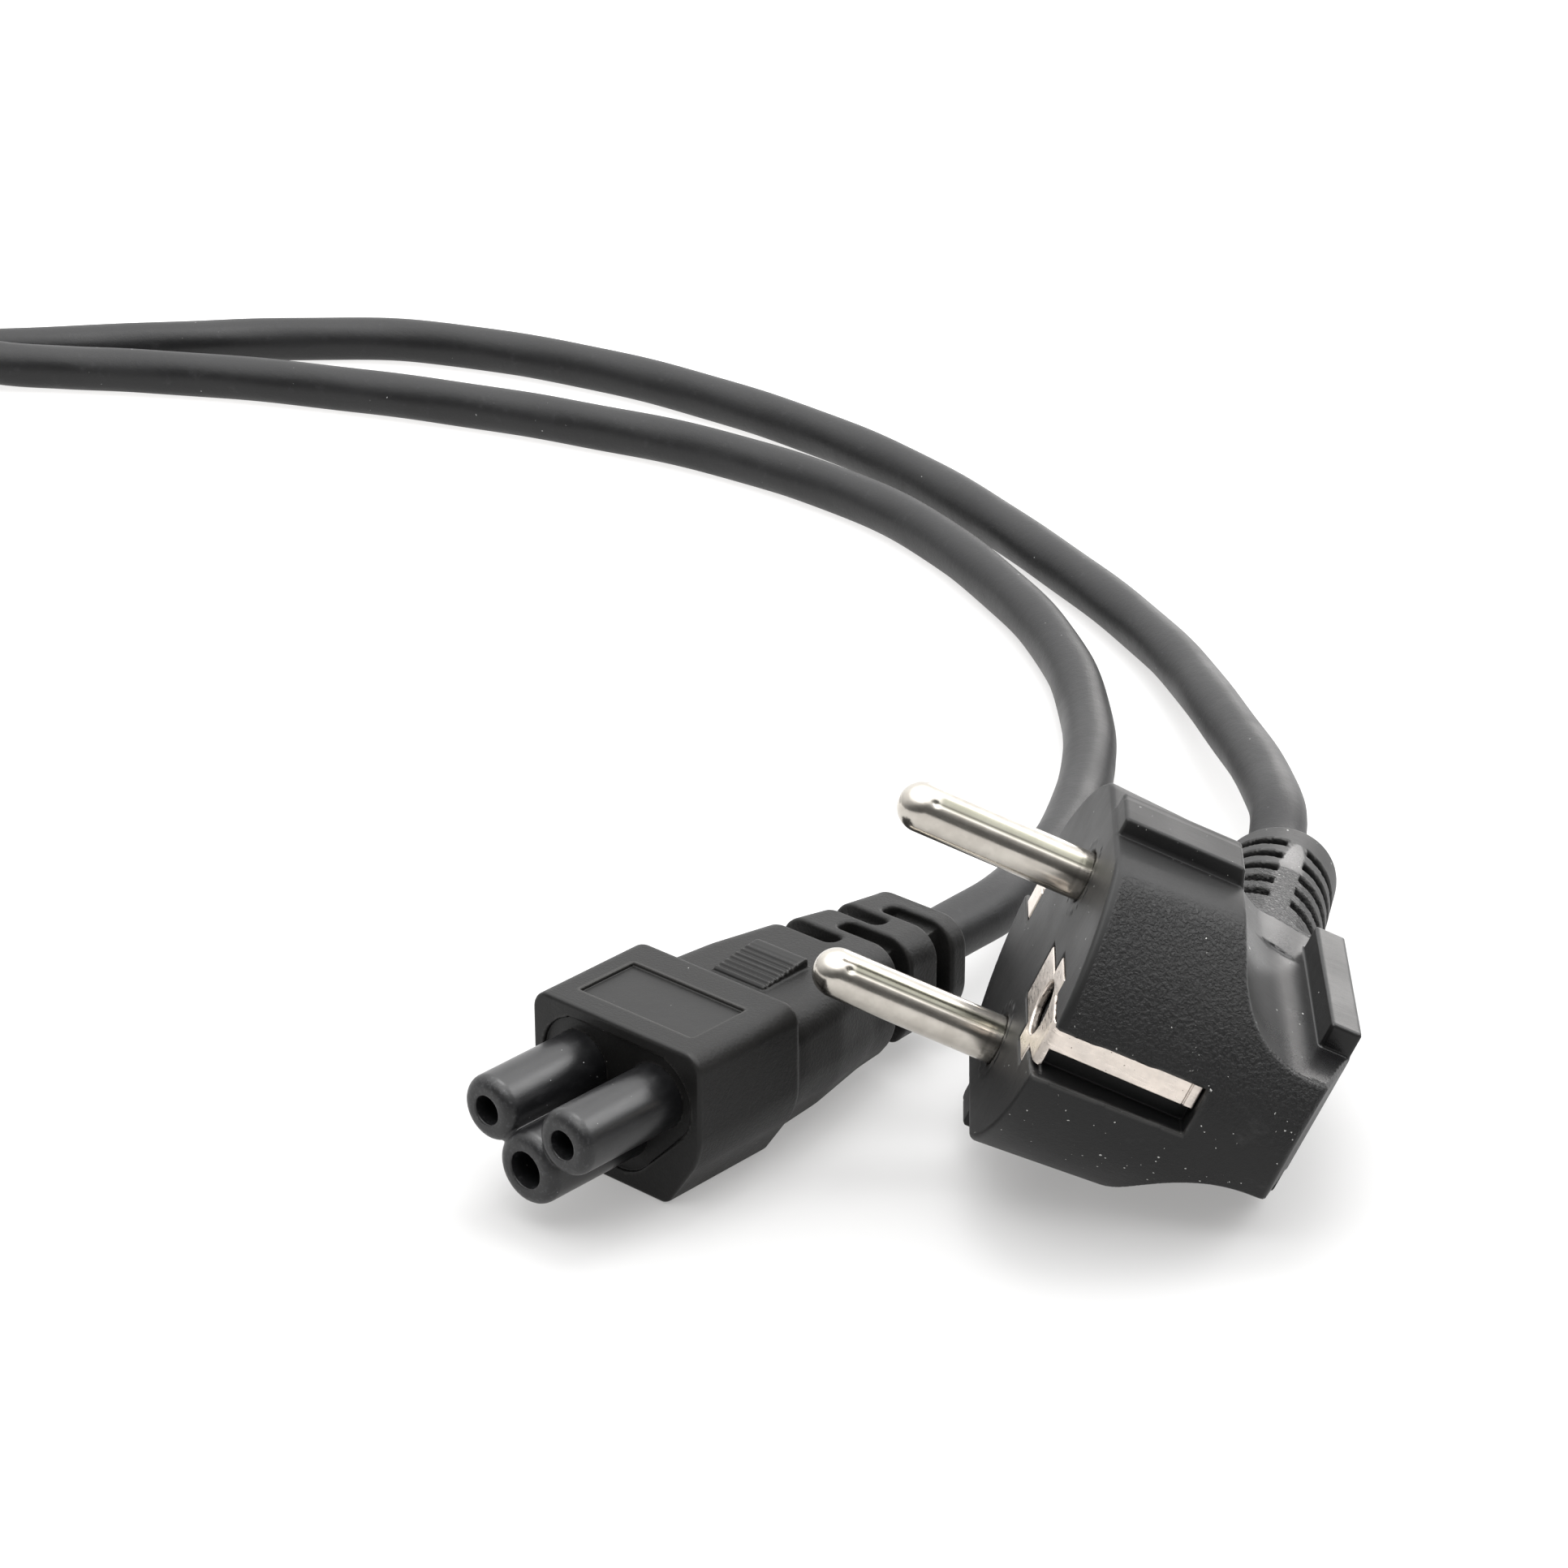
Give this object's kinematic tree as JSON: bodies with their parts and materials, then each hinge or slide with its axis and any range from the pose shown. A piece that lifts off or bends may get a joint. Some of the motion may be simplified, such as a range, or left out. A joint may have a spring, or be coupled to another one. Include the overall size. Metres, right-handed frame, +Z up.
{
  "type": "cloverleaf power cord",
  "caption": "Mains lead with an angled round-pin plug, a round black cord partly wound in a tied coil, and a cloverleaf appliance connector.",
  "frame": {"origin": "floor point under the middle of the box around the plug and the connector, cord left out", "axes": "+Z up from the level floor; +Y the way both strands of the cord run off; the connector's tubes point towards -X and -Y"},
  "size_m": [0.3275, 0.2785, 0.0392],
  "materials": {
    "plug_pvc": "soft black PVC, leather-grained sides and smooth matt grips",
    "connector_pvc": "soft black PVC, fine matt grain",
    "insert_plastic": "hard black plastic, half gloss",
    "cord_pvc": "soft black PVC, satin",
    "tie_plastic": "matt black plastic",
    "pin_nickel": "bright nickel plate, lightly scuffed",
    "earth_metal": "tin-plated sheet, dull with small dark spots",
    "contact_brass": "dull brass"
  },
  "bodies": {
    "root": {"plug_body": "plug_pvc", "line_pin": "pin_nickel", "neutral_pin": "pin_nickel", "earth_contact": "earth_metal", "earth_strip": "earth_metal", "connector_body": "connector_pvc", "connector_insert": "insert_plastic", "contact_line": "contact_brass", "contact_neutral": "contact_brass", "contact_earth": "contact_brass", "cord_plug_side": "cord_pvc", "cord_connector_side": "cord_pvc", "cord_coil": "cord_pvc", "cord_tie": "tie_plastic"}
  },
  "joints": []
}
